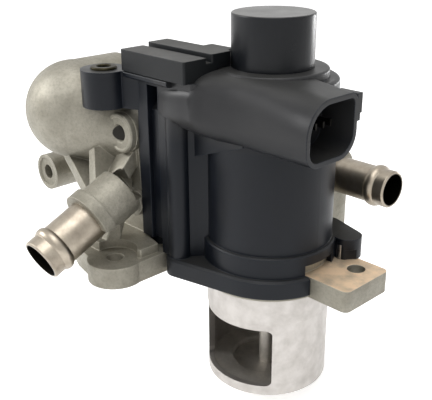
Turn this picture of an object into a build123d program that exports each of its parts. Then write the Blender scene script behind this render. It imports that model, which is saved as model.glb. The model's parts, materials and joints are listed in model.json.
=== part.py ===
from build123d import *
import os
from math import cos, radians, sin

# An electrically operated exhaust gas recirculation valve with a water-cooled cast body.
# Z is the valve axis and z = 0 is the face that bolts to the engine. +X is the way the
# electrical connector opens. The exhaust gas flange faces +Y. All sizes are millimetres.

# ---------------------------------------------------------------- fits and clearances
running = 0.06        # radial play of a part that slides in a bore
slip = 0.1            # radial play of a static part that drops into place
gap = 0.3             # air between neighbours that never touch
root = 1.0            # how far a feature reaches into the one that carries it

# ---------------------------------------------------------------- valve end, below the flange
sleeve_r = 25.0
sleeve_wall = 2.6
sleeve_depth = 44.6
sleeve_edge = 0.5
sleeve_recess = 0.6   # how far the sleeve's end stands up into the casting
land_length = 12.0    # turned land that centres the valve in the engine's bore
land_relief = 0.4     # how much smaller the sleeve is below its land
window_half_width = 18.0
window_height = 25.4
window_corner_r = 2.2
sleeve_lip = 4.4      # solid ring left below the window
seat_bore_r = 14.0
seat_thickness = 2.4
disc_overlap = 1.6    # how far the disc reaches past the seat bore
disc_thickness = 1.6
disc_edge = 0.5       # straight height of the disc's rim
disc_bevel = 1.2
seat_gap = 0.05       # closed valve, before the spring load takes it up
stem_r = 3.3
guide_r = 6.2
guide_length = 13.0
guide_proud = 1.5     # how far the guide stands above the boss
seal_height = 2.0
stem_tip_r = 2.4      # turned-down ends that carry the disc, the retainer and the armature
rivet_height = 0.6    # stem end spread under the disc
lift = 6.0            # full stroke of the valve

# ---------------------------------------------------------------- casting
spigot_depth = 12.0   # how far the casting reaches down into the sleeve
boss_height = 17.0
rim_width = 3.5       # how far the rim stands out from the boss
rim_thickness = 1.2
chamber_r = 17.0
chamber_roof = 4.0    # metal above the gas chamber
flange_thickness = 8.5
bolt_hole_r = 3.5
ear_hole = (34.9, 11.3)
ear_size = (27.0, 26.0)
ear_centre = (31.0, 6.2)
ear_corner_r = 2.5
foot_hole = (-38.0, -48.6)
foot_r = 11.2
foot_wall = 3.6       # height of the rim that stands round the back of the foot
foot_seat_r = 9.0
foot_outline = ((-27.4, -24), (-27.4, -49), (-38, -59), (-45.5, -56.2), (-56.5, -54),
                (-64, -51), (-64, -34), (-61, -15))
foot_rim_outline = ((-29.8, -33.2), (-29.8, -42), (-46, -49.6), (-57, -50), (-62, -42),
                    (-62, -24))

core_height = 38.0
core_left = -62.0
core_back = 50.0
gas_face_y = -8.0     # machined face of the exhaust gas flange
eyelet_face_y = -32.0
eyelet_r = 8.4
eyelet_seat_r = 6.9
eyelet_hole_r = 3.4
eyelet_upper = (-50.1, 54.0)
eyelet_lower = (-112.3, 21.2)
gas_flange_thickness = 9.0
hood_centre = (-83.7, -32.0, 57.2)
hood_r = 20.7
hood_wall = 4.0
port_step = 2.0       # how much smaller the port is than the wall alone would make it
hood_swell = 0.25     # the round nose stands this much proud of both barrels that meet it
hood_end = (-55.0, -16.0, 50.0)
hood_end_r = 17.0
nose_turn = (90, -45, 0)    # turns the sphere's poles away from where the barrels meet it
rib_wall_outline = ((-90, 40), (-44, 50), (-41.5, 7), (-60, 7))
rib_wall_front = -30.0
# each rib: upper end, lower end, half its width at either end, and its depth
ribs = (
    ((-82.0, -40.5, 40.0), (-52.0, -49.0, 28.0), 2.3, 2.3, 16.0),
    ((-60.5, -41.0, 46.5), (-49.5, -49.5, 28.5), 2.2, 2.8, 18.0),
    ((-50.1, -31.5, 46.0), (-47.5, -48.5, 30.0), 4.6, 3.6, 8.0),
    ((-46.7, -38.0, 32.0), (-46.6, -47.0, 10.0), 2.6, 3.2, 4.5),
)
side_boss = (-45.0, 25.0)
side_boss_r = 5.2
side_boss_front = -33.0
duct_r = 7.5
duct_bend = (-58.0, -18.0, 38.0)
duct_end = (-10.0, 3.0, -2.0)
duct_stub = (-26.4, -1.0)   # where the duct passes through a notch in the plastic base
duct_stub_size = (7.0, 21.0)

# ---------------------------------------------------------------- coolant pipes
inlet_mouth = (-45.0, -77.5, 14.5)
inlet_tilt = 24.5     # degrees below horizontal
inlet_r = 8.5
inlet_length = 34.0
outlet_mouth = (31.0, 38.0, 32.5)
outlet_r = 7.5
outlet_length = 37.0
pipe_wall = 1.1
pipe_bead = 1.0       # height of the hose bead
pipe_bead_at = 7.0    # distance of the bead from the mouth
collar_wall = 3.0
collar_length = 5.0   # thick end of the inlet collar
collar_core_wall = 1.6
pipe_seat = 10.0      # length of pipe held in its collar

# ---------------------------------------------------------------- plastic actuator housing
ring_wall = 4.5       # plastic round the casting's boss, in the base ring
ring_height = 8.5
step_wall = 2.4       # the same in the step above it
gasket_width = 2.0
barrel_r = 24.8
barrel_wall = 3.0
barrel_top = 80.0
lobe_front = (-21.5, -28.6)
lobe_r = 5.6
lobes_back = ((24.5, 19.0), (11.0, 23.0))
ear_notch = (-7.4, 9.0)     # the plastic is cut away above the ear between these, along Y
ear_notch_height = 4.2
ear_scallop_r = 8.2   # room for the head of the ear's bolt
screw_head_r = 3.6
screw_r = 2.0
screw_head_height = 3.0
screw_length = 11.5
screw_ear = (24.8, 15.3)
screw_foot = (-37.4, -25.6)
screw_boss_wall = 1.6
screw_socket_r = 1.8
screw_socket_depth = 2.0
socket_y = -11.8
socket_z = 68.75
socket_width = 26.4
socket_height = 22.5
tunnel_left = -28.0
tunnel_reach = 13.2    # how far the connector stands out past the barrel
socket_depth = 14.0
socket_wall = 1.7
socket_top_r = 12.0
socket_rear_r = 4.0
socket_low_front_r = 6.0
socket_low_rear_r = 9.0
socket_split = (2.0, -1.5)  # where the rounded outline's quarters meet, from its centre
wing_left = -40.4
wing_front = -32.0
wing_back = -20.0
wing_bottom = 13.0
strip_width = 6.0
groove_right = -28.2
groove_depth = 7.0
column_r = 4.4
gusset_front = -24.8
gusset_thickness = 4.0
lug_centre = (-55.5, -36.0)
lug_r = 9.2
lug_bottom = 65.0
lug_height = 14.5
lug_neck = (-38.0, -27.0)   # front and back of the neck where it leaves the lug
lug_clearance = 1.2   # air between the lug and the casting round it
bush_r = 5.2
bush_bore_r = 2.75
bush_proud = 1.0
bush_edge = 0.35

terminal_count = 5
terminal_pitch = 4.0
terminal_section = (0.8, 2.3)
terminal_root = 2.0
terminal_reach = 7.0

# ---------------------------------------------------------------- clip, cover and sensor cap
clip_left = -46.0
clip_length = 36.2
clip_front = -34.8
clip_front_width = 11.0
clip_groove = 2.4
clip_rear_width = 10.0
clip_base = 6.0
clip_tab = (-25.0, -12.0, 4.4)   # ends along X and depth of the tab behind the clip
clip_height = 8.0
clip_rear_rise = 1.0
crown_inset = 3.8     # how far the raised plastic round the cover stays inside the barrel
crown_height = 3.3
crown_edge_r = 1.0
cover_inset = 0.45    # how far the cap's wall reaches past the cover, on to the crown
cap_r = 15.35
cap_height = 19.5
cap_wall = 1.8
cover_seal_mid_r = 12.0
cover_seal_width = 1.8
cover_seal_height = 1.4

# ---------------------------------------------------------------- solenoid and moving rod
yoke_wall = 1.6
yoke_bottom = 35.0
yoke_top = 76.0
bobbin_gap = 0.5      # radial air between the armature and what surrounds it
coil_wall = 1.2
armature_r = 9.2
armature_length = 26.0
pole_height = 6.0
pole_bevel = 1.5      # bevel on the pole and on the armature that meets it
winding_inset = 0.8   # how far the wire lies below the bobbin's flanges
stop_gap = 0.5        # air left between armature and pole at full lift
spring_wire_r = 0.7
spring_wire_sides = 8
spring_mean_r = 8.6
spring_turns = 4
spring_seat_gap = 0.02
retainer_r = 10.6
retainer_thickness = 1.8
retainer_gap = 2.0    # room between the retainer and the yoke's bottom plate
rod_r = 2.0
slider_size = (8.0, 7.0, 5.0)
board_size = (1.6, 14.0, 13.0)
board_gap = 3.0       # air between the slider and the board, bridged by the wipers
wiper_clearance = 0.1
wiper_size = (1.2, 0.4)
wiper_pitch = 4.0
wiper_height = 1.5    # above the slider's underside
slider_clearance = 2.5   # left under the slider at full lift

# ---------------------------------------------------------------- derived heights and radii
cavity_r = barrel_r - barrel_wall
boss_r = cavity_r + 2 * slip + gasket_width
rim_r = boss_r + rim_width
ring_r = boss_r + ring_wall
crown_r = barrel_r - crown_inset
tunnel_mouth = barrel_r + tunnel_reach
step_r = boss_r + step_wall
sleeve_bore_r = sleeve_r - sleeve_wall
sleeve_body_r = sleeve_r - land_relief
port_r = hood_r - hood_wall - port_step
window_bottom = -sleeve_depth + sleeve_lip
window_top = window_bottom + window_height
seat_top = window_bottom - gap
seat_bottom = seat_top - seat_thickness
disc_r = seat_bore_r + disc_overlap
disc_top = seat_bottom - seat_gap
disc_bottom = disc_top - disc_thickness
stem_bottom = disc_bottom - rivet_height
step_top = boss_height
gasket_thickness = 0.8
ledge_z = boss_height + gasket_thickness
cavity_top = barrel_top - barrel_wall
cover_top = barrel_top + crown_height
cover_r = cap_r - cover_inset
yoke_r = cavity_r - slip
bobbin_bore_r = armature_r + bobbin_gap
coil_bottom = yoke_bottom + yoke_wall
coil_top = yoke_top - yoke_wall
coil_r = yoke_r - yoke_wall - slip
plate_bore_r = stem_r + bobbin_gap
guide_top = boss_height + guide_proud
guide_bottom = guide_top - guide_length
retainer_bottom = yoke_bottom - retainer_gap - retainer_thickness
spring_bottom = boss_height + spring_wire_r + spring_seat_gap
spring_height = retainer_bottom - boss_height - 2 * (spring_wire_r + spring_seat_gap)
pole_top = yoke_bottom + yoke_wall + pole_height
armature_bottom = pole_top + lift + stop_gap
armature_top = armature_bottom + armature_length
slider_bottom = cover_top + lift + slider_clearance
board_x = slider_size[0] / 2 + board_gap
wiper_length = board_gap - wiper_clearance
clip_mid = clip_left + clip_length / 2
groove_front = clip_front + clip_front_width
groove_back = groove_front + clip_groove
clip_back = groove_back + clip_rear_width
tunnel_front = socket_y - socket_width / 2
tunnel_bottom = socket_z - socket_height / 2
socket_floor = tunnel_mouth - socket_depth
plate_z = rim_thickness   # underside of the plastic base, on the casting's thin rim
terminal_spots = [(socket_y + (i - (terminal_count - 1) / 2) * terminal_pitch, socket_z)
                  for i in range(terminal_count)]


def write(piece, label):
    piece.label = label
    export_step(piece, f"parts/{label}.step")


os.makedirs("parts", exist_ok=True)

# ================================================================ cast aluminium body
inlet_axis = Vector(0, cos(radians(inlet_tilt)), sin(radians(inlet_tilt)))
inlet_plane = Plane(origin=inlet_mouth, x_dir=(1, 0, 0), z_dir=tuple(inlet_axis))
outlet_plane = Plane(origin=outlet_mouth, x_dir=(0, 1, 0), z_dir=(-1, 0, 0))
inlet_collar_start = inlet_length - pipe_seat
outlet_collar_start = outlet_length - pipe_seat
front_view = Plane.XZ      # local x is X, local y is Z, and it extrudes towards -Y


def from_front(y):
    """The front view plane moved to a given Y; a positive extrusion comes forward."""
    return front_view.offset(-y)


with BuildPart() as cast_housing:
    # hood: a round-nosed duct that turns towards the valve, cut off at the gas flange's face
    with BuildSketch(from_front(gas_face_y)):
        with Locations((hood_centre[0], hood_centre[2])):
            Circle(hood_r)
    extrude(amount=gas_face_y - hood_centre[1])
    hood_run = Vector(*hood_end) - Vector(*hood_centre)
    hood_plane = Plane(origin=hood_centre, z_dir=tuple(hood_run))
    with BuildSketch(hood_plane):
        Circle(hood_r)
    with BuildSketch(hood_plane.offset(hood_run.length)):
        Circle(hood_end_r)
    loft()
    with Locations(Location(hood_centre, nose_turn)):
        Sphere(hood_r + hood_swell)
    split(bisect_by=from_front(gas_face_y), keep=Keep.TOP)

    # central boss that the plastic base fits round, with its thin rim
    with BuildSketch(Plane.XY):
        Circle(rim_r)
    extrude(amount=rim_thickness)
    with BuildSketch(Plane.XY):
        Circle(boss_r)
    extrude(amount=boss_height)
    with BuildSketch(Plane.XY.offset(-spigot_depth)):
        Circle(sleeve_bore_r)
    extrude(amount=spigot_depth)

    # right-hand bolt ear
    with BuildSketch(Plane.XY):
        with Locations(ear_centre):
            RectangleRounded(*ear_size, ear_corner_r)
    extrude(amount=flange_thickness)

    # left-hand bolt foot and the web that carries it
    with BuildSketch(Plane.XY):
        with BuildLine():
            Polyline(*foot_outline, close=True)
        make_face()
        with Locations(foot_hole):
            Circle(foot_r)
    extrude(amount=flange_thickness)
    with BuildSketch(Plane.XY.offset(flange_thickness)):
        with BuildLine():
            Polyline(*foot_rim_outline, close=True)
        make_face()
        with Locations(foot_hole):
            Circle(foot_seat_r, mode=Mode.SUBTRACT)
    extrude(amount=foot_wall)

    # water jacket behind and beside the actuator
    with BuildSketch(Plane.XY):
        with BuildLine():
            Polyline((core_left, wing_back + gap), (-18, wing_back + gap), (-8, 0),
                     (4, 24), (4, core_back), (-28, core_back), (-52, 22),
                     (core_left, 4), close=True)
        make_face()
    extrude(amount=core_height)
    vertical = cast_housing.edges().filter_by(Axis.Z)
    fillet(vertical.filter_by(lambda e: e.center().Y > core_back - 1), 8)

    # neck between the hood and the jacket, clear of the plastic wing
    with BuildSketch(from_front(gas_face_y)):
        with BuildLine():
            Polyline((-66, 12), (wing_left - gap, 12), (wing_left - gap, 44), (-44, 60),
                     (-66, 62), close=True)
        make_face()
    extrude(amount=gas_face_y - eyelet_face_y - 4)

    # exhaust gas flange with its two bolt eyelets
    with BuildSketch(from_front(gas_face_y)):
        with Locations(eyelet_upper, eyelet_lower, (hood_centre[0], hood_centre[2])):
            Circle(eyelet_r)
        with Locations((hood_centre[0], hood_centre[2])):
            Circle(hood_r)
        make_hull()
    extrude(amount=gas_flange_thickness)
    with BuildSketch(from_front(gas_face_y)):
        with Locations(eyelet_upper, eyelet_lower):
            Circle(eyelet_r)
    extrude(amount=gas_face_y - eyelet_face_y)

    # ribs that fan out from the inlet collar to the hood, and the wall behind them
    for upper, lower, upper_half, lower_half, depth in ribs:
        run = Vector(*lower) - Vector(*upper)
        across = run.cross(Vector(0, 1, 0))
        with BuildSketch(Plane(origin=upper, x_dir=tuple(run), z_dir=tuple(run.cross(across)))):
            with BuildLine():
                Polyline((0, -upper_half), (run.length, -lower_half), (run.length, lower_half),
                         (0, upper_half), close=True)
            make_face()
        extrude(amount=depth, dir=(0, 1, 0))
    with BuildSketch(from_front(gas_face_y)):
        with BuildLine():
            Polyline(*rib_wall_outline, close=True)
        make_face()
    extrude(amount=gas_face_y - rib_wall_front)
    with BuildSketch(from_front(gas_face_y)):
        with Locations(side_boss):
            Circle(side_boss_r)
    extrude(amount=gas_face_y - side_boss_front)

    # collars for the two coolant pipes
    with BuildSketch(inlet_plane.offset(inlet_collar_start)):
        Circle(inlet_r + collar_wall)
    extrude(amount=collar_length)
    with BuildSketch(inlet_plane.offset(inlet_collar_start)):
        Circle(inlet_r + collar_core_wall)
    extrude(amount=pipe_seat + 8)
    with BuildSketch(outlet_plane.offset(outlet_collar_start)):
        Circle(outlet_r + collar_wall)
    extrude(amount=pipe_seat + 6)

    # gas chamber, gas duct and port
    with BuildSketch(Plane.XY.offset(-spigot_depth)):
        Circle(chamber_r)
    extrude(amount=spigot_depth + boss_height - chamber_roof, mode=Mode.SUBTRACT)
    with BuildSketch(from_front(gas_face_y)):
        with Locations((hood_centre[0], hood_centre[2])):
            Circle(port_r)
    extrude(amount=gas_face_y - hood_centre[1], mode=Mode.SUBTRACT)
    with Locations(Location(hood_centre, nose_turn)):
        Sphere(port_r + hood_swell, mode=Mode.SUBTRACT)
    duct_legs = [hood_centre, duct_bend, duct_end]
    for start, end in zip(duct_legs, duct_legs[1:]):
        leg = Vector(*end) - Vector(*start)
        with BuildSketch(Plane(origin=start, z_dir=tuple(leg))):
            Circle(duct_r)
        extrude(amount=leg.length, mode=Mode.SUBTRACT)
    with Locations(duct_bend):
        Sphere(duct_r, mode=Mode.SUBTRACT)

    # room for the plastic housing: its base ring, its barrel, its wing and its lug
    with BuildSketch(Plane.XY.offset(plate_z)):
        Circle(ring_r + gap)
        with Locations(lobe_front):
            Circle(lobe_r + gap)
        make_hull()
        Circle(boss_r, mode=Mode.SUBTRACT)
        with Locations(duct_stub):
            Rectangle(*duct_stub_size, mode=Mode.SUBTRACT)
        with Locations(ear_centre):
            Rectangle(*ear_size, mode=Mode.SUBTRACT)
    extrude(amount=ring_height - plate_z, mode=Mode.SUBTRACT)
    with BuildSketch(Plane.XY.offset(ring_height)):
        Circle(ring_r + gap)
        Circle(boss_r, mode=Mode.SUBTRACT)
        with Locations(duct_stub):
            Rectangle(*duct_stub_size, mode=Mode.SUBTRACT)
    extrude(amount=boss_height - ring_height, mode=Mode.SUBTRACT)
    with BuildSketch(Plane.XY.offset(boss_height)):
        Circle(step_r + gap)
    extrude(amount=core_height, mode=Mode.SUBTRACT)
    with BuildSketch(Plane.XY.offset(wing_bottom - gap)):
        with Locations(((wing_left - gap) / 2, (wing_front + wing_back) / 2)):
            Rectangle(gap - wing_left, wing_back - wing_front + 2 * gap)
    extrude(amount=barrel_top - wing_bottom, mode=Mode.SUBTRACT)
    with BuildSketch(Plane.XY.offset(flange_thickness)):
        with Locations(screw_foot):
            Circle(screw_r + screw_boss_wall + gap)
    extrude(amount=wing_bottom - flange_thickness + root + gap, mode=Mode.SUBTRACT)
    with BuildSketch(Plane.XY.offset(lug_bottom - lug_clearance)):
        with Locations(lug_centre):
            Circle(lug_r + lug_clearance)
        with Locations((lug_centre[0] + lug_r, lug_centre[1])):
            Rectangle(2 * lug_r, 2 * (lug_r + lug_clearance))
    extrude(amount=lug_height + 2 * lug_clearance, mode=Mode.SUBTRACT)

    # machined bores, spot faces and seats
    with BuildSketch(Plane.XY.offset(-spigot_depth)):
        Circle(guide_r)
    extrude(amount=spigot_depth + boss_height, mode=Mode.SUBTRACT)
    with BuildSketch(inlet_plane.offset(inlet_collar_start)):
        Circle(inlet_r)
    extrude(amount=pipe_seat, mode=Mode.SUBTRACT)
    with BuildSketch(inlet_plane.offset(inlet_length)):
        Circle(inlet_r - pipe_wall)
    extrude(amount=14, mode=Mode.SUBTRACT)
    with BuildSketch(outlet_plane.offset(outlet_collar_start)):
        Circle(outlet_r)
    extrude(amount=pipe_seat, mode=Mode.SUBTRACT)
    with BuildSketch(outlet_plane.offset(outlet_length)):
        Circle(outlet_r - pipe_wall)
    extrude(amount=12, mode=Mode.SUBTRACT)
    with BuildSketch(from_front(gas_face_y)):
        with Locations(eyelet_upper, eyelet_lower):
            Circle(eyelet_hole_r)
    extrude(amount=gas_face_y - eyelet_face_y, mode=Mode.SUBTRACT)
    with BuildSketch(from_front(eyelet_face_y)):
        with Locations(eyelet_upper, eyelet_lower):
            Circle(eyelet_seat_r)
    extrude(amount=-0.6, mode=Mode.SUBTRACT)
    with BuildSketch(Plane.XY):
        with Locations(ear_hole, foot_hole):
            Circle(bolt_hole_r)
    extrude(amount=flange_thickness, mode=Mode.SUBTRACT)
    with BuildSketch(Plane.XY.offset(flange_thickness)):
        with Locations(foot_hole):
            Circle(foot_seat_r)
    extrude(amount=14, mode=Mode.SUBTRACT)
    with BuildSketch(Plane.XY):
        Circle(sleeve_r + slip)
        Circle(sleeve_bore_r, mode=Mode.SUBTRACT)
    extrude(amount=sleeve_recess, mode=Mode.SUBTRACT)
    with BuildSketch(Plane.XY):
        with Locations(screw_ear, screw_foot):
            Circle(screw_head_r + slip)
    extrude(amount=screw_head_height, mode=Mode.SUBTRACT)
    with BuildSketch(Plane.XY):
        with Locations(screw_ear, screw_foot):
            Circle(screw_r + slip)
    extrude(amount=flange_thickness + foot_wall, mode=Mode.SUBTRACT)
write(cast_housing.part, "cast_housing")

# ================================================================ valve sleeve, seat and guide
with BuildPart() as valve_sleeve:
    with BuildSketch(Plane.XZ):
        with BuildLine():
            Polyline((sleeve_bore_r, sleeve_edge - sleeve_depth),
                     (sleeve_bore_r + sleeve_edge, -sleeve_depth),
                     (sleeve_body_r - sleeve_edge, -sleeve_depth),
                     (sleeve_body_r, sleeve_edge - sleeve_depth), (sleeve_body_r, -land_length),
                     (sleeve_r, -land_length), (sleeve_r, 0),
                     (sleeve_r - sleeve_recess, sleeve_recess),
                     (sleeve_bore_r, sleeve_recess), close=True)
        make_face()
    revolve(axis=Axis.Z)
    with BuildSketch(from_front(0)):
        with Locations((0, (window_top + window_bottom) / 2)):
            RectangleRounded(2 * window_half_width, window_height, window_corner_r)
    extrude(amount=sleeve_r + 5, mode=Mode.SUBTRACT)
write(valve_sleeve.part, "valve_sleeve")

with BuildPart() as valve_seat:
    with BuildSketch(Plane.XY.offset(seat_bottom)):
        Circle(sleeve_bore_r)
        Circle(seat_bore_r, mode=Mode.SUBTRACT)
    extrude(amount=seat_thickness)
    mouth = valve_seat.edges().filter_by(GeomType.CIRCLE).group_by(Axis.Z)[-1].sort_by(SortBy.LENGTH)[0]
    chamfer(mouth, 0.6)
write(valve_seat.part, "valve_seat")

with BuildPart() as stem_guide:
    with BuildSketch(Plane.XY.offset(guide_bottom)):
        Circle(guide_r)
        Circle(stem_r + running, mode=Mode.SUBTRACT)
    extrude(amount=guide_length)
    ends = stem_guide.edges().filter_by(GeomType.CIRCLE).group_by(Axis.Z)[0].sort_by(SortBy.LENGTH)[-1]
    chamfer(ends, 0.8)
write(stem_guide.part, "stem_guide")

with BuildPart() as stem_seal:
    with BuildSketch(Plane.XY.offset(guide_bottom - seal_height)):
        Circle(guide_r)
        Circle(stem_r + running, mode=Mode.SUBTRACT)
    extrude(amount=seal_height)
write(stem_seal.part, "stem_seal")

# ================================================================ coolant pipes


def coolant_pipe(plane, radius, length):
    """A hose spigot on the plane's Z axis from its mouth, with a rolled bead."""
    bore = radius - pipe_wall
    with BuildPart() as pipe:
        with BuildSketch(Plane.XZ):
            with BuildLine():
                Polyline((bore, 0), (radius - 0.5, 0), (radius, 0.5),
                         (radius, pipe_bead_at - 2.2))
                ThreePointArc((radius, pipe_bead_at - 2.2),
                              (radius + pipe_bead, pipe_bead_at),
                              (radius, pipe_bead_at + 2.2))
                Polyline((radius, pipe_bead_at + 2.2), (radius, length), (bore, length), (bore, 0))
            make_face()
        revolve(axis=Axis.Z)
    return plane.from_local_coords(pipe.part)


write(coolant_pipe(inlet_plane, inlet_r, inlet_length), "coolant_inlet_pipe")
write(coolant_pipe(outlet_plane, outlet_r, outlet_length), "coolant_outlet_pipe")

# ================================================================ plastic actuator housing
socket_inner = (socket_width - 2 * socket_wall, socket_height - 2 * socket_wall)
end_view = Plane.YZ        # local x is Y, local y is Z, and it extrudes towards +X


def connector_profile(inset):
    """The connector's rounded outline, drawn inwards by inset."""
    left = tunnel_front + inset
    right = tunnel_front + socket_width - inset
    low = tunnel_bottom + inset
    high = tunnel_bottom + socket_height - inset
    middle_y = socket_y + socket_split[0]
    middle_z = socket_z + socket_split[1]
    with BuildLine() as outline:
        FilletPolyline((left, middle_z), (left, high), (middle_y, high),
                       radius=socket_top_r - inset)
        FilletPolyline((middle_y, high), (right, high), (right, middle_z),
                       radius=socket_rear_r - inset)
        FilletPolyline((right, middle_z), (right, low), (middle_y, low),
                       radius=socket_low_rear_r - inset)
        FilletPolyline((middle_y, low), (left, low), (left, middle_z),
                       radius=socket_low_front_r - inset)
    return outline.edges()


with BuildPart() as actuator_housing:
    # base ring that wraps the casting's boss, with its two screw lobes
    with BuildSketch(Plane.XY.offset(plate_z)):
        Circle(ring_r)
        with Locations(lobe_front):
            Circle(lobe_r)
        make_hull()
    extrude(amount=ring_height - plate_z)
    chamfer(actuator_housing.edges().group_by(Axis.Z)[-1], 0.9)
    with BuildSketch(Plane.XY.offset(ring_height)):
        Circle(step_r)
    extrude(amount=step_top - ring_height)
    chamfer(actuator_housing.edges().group_by(Axis.Z)[-1], 0.5)
    with BuildSketch(Plane.XY.offset(ring_height)):
        with Locations(*lobes_back):
            Circle(lobe_r)
        make_hull()
    extrude(amount=step_top - ring_height)

    # round barrel over the solenoid
    with BuildSketch(Plane.XY.offset(step_top - root)):
        Circle(barrel_r)
    extrude(amount=barrel_top - step_top + root)
    fillet(actuator_housing.edges().group_by(Axis.Z)[-1], 1.5)

    # raised crown round the cover
    with BuildSketch(Plane.XY.offset(barrel_top)):
        Circle(crown_r)
    extrude(amount=crown_height)
    fillet(actuator_housing.edges().group_by(Axis.Z)[-1], crown_edge_r)

    # wing on the left with its flat strip, its groove and its screw column
    with BuildSketch(Plane.XY.offset(wing_bottom)):
        with BuildLine():
            Polyline((wing_left, wing_back), (wing_left, wing_front),
                     (wing_left + strip_width, wing_front),
                     (wing_left + strip_width, wing_front + groove_depth),
                     (groove_right, wing_front + groove_depth), (groove_right, wing_front),
                     (lobe_front[0], wing_front), (lobe_front[0], wing_back), close=True)
        make_face()
    extrude(amount=barrel_top - wing_bottom - 1.5)
    with BuildSketch(Plane.XY.offset(ring_height)):
        with Locations(((groove_right + lobe_front[0]) / 2, (wing_front + wing_back) / 2)):
            Rectangle(lobe_front[0] - groove_right, wing_back - wing_front)
    extrude(amount=wing_bottom - ring_height + root)
    with BuildSketch(Plane.XY.offset(barrel_top - 4)):
        with Locations(((wing_left - 8) / 2, (wing_front - 8) / 2)):
            RectangleRounded(-8 - wing_left, -8 - wing_front, 2)
    extrude(amount=4)
    with BuildSketch(Plane.XY.offset(plate_z)):
        with Locations(lobe_front):
            Circle(column_r)
    extrude(amount=tunnel_bottom + 8 - plate_z)

    # boss that takes the foot's screw, standing on the casting under the strip
    with BuildSketch(Plane.XY.offset(flange_thickness)):
        with Locations(screw_foot):
            Circle(screw_r + screw_boss_wall)
    extrude(amount=wing_bottom - flange_thickness + root)

    # gusset under the connector tunnel
    with BuildSketch(from_front(gusset_front + gusset_thickness)):
        with BuildLine():
            Polyline((-18, tunnel_bottom + 6), (-18, 49.5), (9, tunnel_bottom + 1.5),
                     (9, tunnel_bottom + 6), close=True)
        make_face()
    extrude(amount=gusset_thickness)

    # connector tunnel across the front of the barrel
    with BuildSketch(end_view.offset(tunnel_left)):
        make_face(connector_profile(0))
    extrude(amount=tunnel_mouth - tunnel_left)

    # locking ramp and key of the connector
    with BuildSketch(end_view.offset(tunnel_mouth - 9)):
        with Locations((tunnel_front + socket_width + 1.0, socket_z + 7.0)):
            Rectangle(2.6, 7.0)
    extrude(amount=9)
    with BuildSketch(end_view.offset(tunnel_mouth - 5)):
        with Locations((tunnel_front + socket_width + 1.4, socket_z + 2.0)):
            Rectangle(3.0, 3.2)
    extrude(amount=4)

    # lug that reaches over to the casting
    with BuildSketch(Plane.XY.offset(lug_bottom)):
        with Locations(lug_centre):
            Circle(lug_r)
        with BuildLine():
            Polyline((lug_centre[0], lug_neck[0]), (wing_left + root, wing_front),
                     (wing_left + root, lug_neck[1]), (lug_centre[0], lug_neck[1]), close=True)
        make_face()
    extrude(amount=lug_height)

    # hollow inside, open at the bottom
    with BuildSketch(Plane.XY.offset(ledge_z)):
        Circle(cavity_r)
    extrude(amount=cavity_top - ledge_z, mode=Mode.SUBTRACT)
    with BuildSketch(Plane.XY.offset(plate_z)):
        Circle(boss_r + slip)
    extrude(amount=ledge_z - plate_z, mode=Mode.SUBTRACT)
    with BuildSketch(Plane.XY.offset(plate_z)):
        with Locations((duct_stub[0] - 4, duct_stub[1])):
            Rectangle(duct_stub_size[0] + 8, duct_stub_size[1] + 2 * gap)
    extrude(amount=boss_height - plate_z, mode=Mode.SUBTRACT)
    with BuildSketch(Plane.XY.offset(plate_z)):
        with Locations(ear_centre):
            Rectangle(ear_size[0] + 2 * gap, ear_size[1] + 2 * gap)
    extrude(amount=flange_thickness - plate_z, mode=Mode.SUBTRACT)
    with BuildSketch(Plane.XY.offset(flange_thickness)):
        with Locations((ear_centre[0], (ear_notch[0] + ear_notch[1]) / 2)):
            Rectangle(ear_size[0], ear_notch[1] - ear_notch[0])
        with Locations(ear_hole):
            Circle(ear_scallop_r)
    extrude(amount=ear_notch_height, mode=Mode.SUBTRACT)
    with BuildSketch(Plane.XY.offset(flange_thickness)):
        with Locations(screw_ear, screw_foot):
            Circle(screw_r)
    extrude(amount=screw_head_height + screw_length - flange_thickness, mode=Mode.SUBTRACT)
    with BuildSketch(end_view.offset(socket_floor - terminal_root)):
        with Locations(*terminal_spots):
            Rectangle(*terminal_section)
    extrude(amount=terminal_root, mode=Mode.SUBTRACT)
    with BuildSketch(Plane.XY.offset(cavity_top)):
        Circle(rod_r + 2.0)
    extrude(amount=barrel_wall, mode=Mode.SUBTRACT)
    with BuildSketch(Plane.XY.offset(barrel_top)):
        Circle(cover_r + slip)
    extrude(amount=crown_height, mode=Mode.SUBTRACT)
    with BuildSketch(end_view.offset(socket_floor)):
        make_face(connector_profile(socket_wall))
    extrude(amount=socket_depth, mode=Mode.SUBTRACT)
    with BuildSketch(Plane.XY.offset(lug_bottom)):
        with Locations(lug_centre):
            Circle(bush_r)
    extrude(amount=lug_height, mode=Mode.SUBTRACT)
write(actuator_housing.part, "actuator_housing")

with BuildPart() as housing_gasket:
    with BuildSketch(Plane.XY.offset(boss_height)):
        Circle(boss_r - slip)
        Circle(cavity_r + slip, mode=Mode.SUBTRACT)
    extrude(amount=gasket_thickness)
write(housing_gasket.part, "housing_gasket")

with BuildPart() as limiter_bush:
    with BuildSketch(Plane.XY.offset(lug_bottom - bush_proud)):
        with Locations(lug_centre):
            Circle(bush_r)
            Circle(bush_bore_r, mode=Mode.SUBTRACT)
    extrude(amount=lug_height + 2 * bush_proud)
    chamfer(limiter_bush.edges().filter_by(GeomType.CIRCLE), bush_edge)
write(limiter_bush.part, "limiter_bush")

with BuildPart() as housing_screws:
    with BuildSketch(Plane.XY):
        with Locations(screw_ear, screw_foot):
            Circle(screw_head_r)
            RegularPolygon(screw_socket_r, 6, mode=Mode.SUBTRACT)
    extrude(amount=screw_socket_depth)
    with BuildSketch(Plane.XY.offset(screw_socket_depth)):
        with Locations(screw_ear, screw_foot):
            Circle(screw_head_r)
    extrude(amount=screw_head_height - screw_socket_depth)
    with BuildSketch(Plane.XY.offset(screw_head_height)):
        with Locations(screw_ear, screw_foot):
            Circle(screw_r - running)
    extrude(amount=screw_length)
write(housing_screws.part, "housing_screws")

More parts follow.
